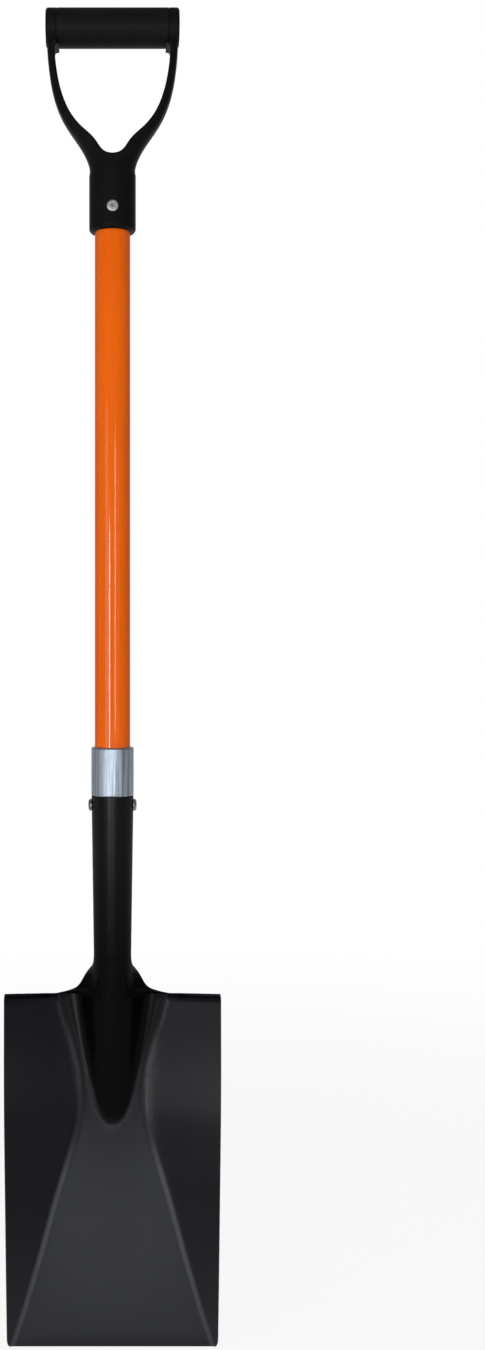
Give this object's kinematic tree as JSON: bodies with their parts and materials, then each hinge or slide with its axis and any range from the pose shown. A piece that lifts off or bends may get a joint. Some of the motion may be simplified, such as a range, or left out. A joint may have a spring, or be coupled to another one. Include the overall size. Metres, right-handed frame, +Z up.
{
  "type": "digging spade",
  "caption": "Long digging spade with a square-mouthed pressed steel blade, straight fibreglass shaft, metal ferrule and moulded D-shaped hand grip.",
  "frame": {"origin": "middle of the cutting edge", "axes": "+Z up along the shaft, +X to the right as seen from the front, -Y towards the front, the dished side of the blade"},
  "size_m": [0.1782, 0.063, 1.0813],
  "materials": {
    "blade_steel": "satin black powder coat",
    "shaft_fibreglass": "glossy orange",
    "core_wood": "plain turned",
    "ferrule_aluminium": "brushed",
    "rivet_steel": "bare",
    "grip_plastic": "satin black moulding",
    "sleeve_plastic": "matte black",
    "rod_steel": "zinc plated",
    "washer_steel": "zinc plated",
    "rivet_aluminium": "plain",
    "stem_steel": "plain"
  },
  "bodies": {
    "root": {"spade_blade": "blade_steel", "shaft_tube": "shaft_fibreglass", "shaft_core_plug": "core_wood", "ferrule": "ferrule_aluminium", "socket_rivet": "rivet_steel", "grip_yoke": "grip_plastic", "grip_sleeve": "sleeve_plastic", "grip_rod": "rod_steel", "grip_rod_washers": "washer_steel", "collar_rivet": "rivet_aluminium", "collar_rivet_stem": "stem_steel"}
  },
  "joints": []
}
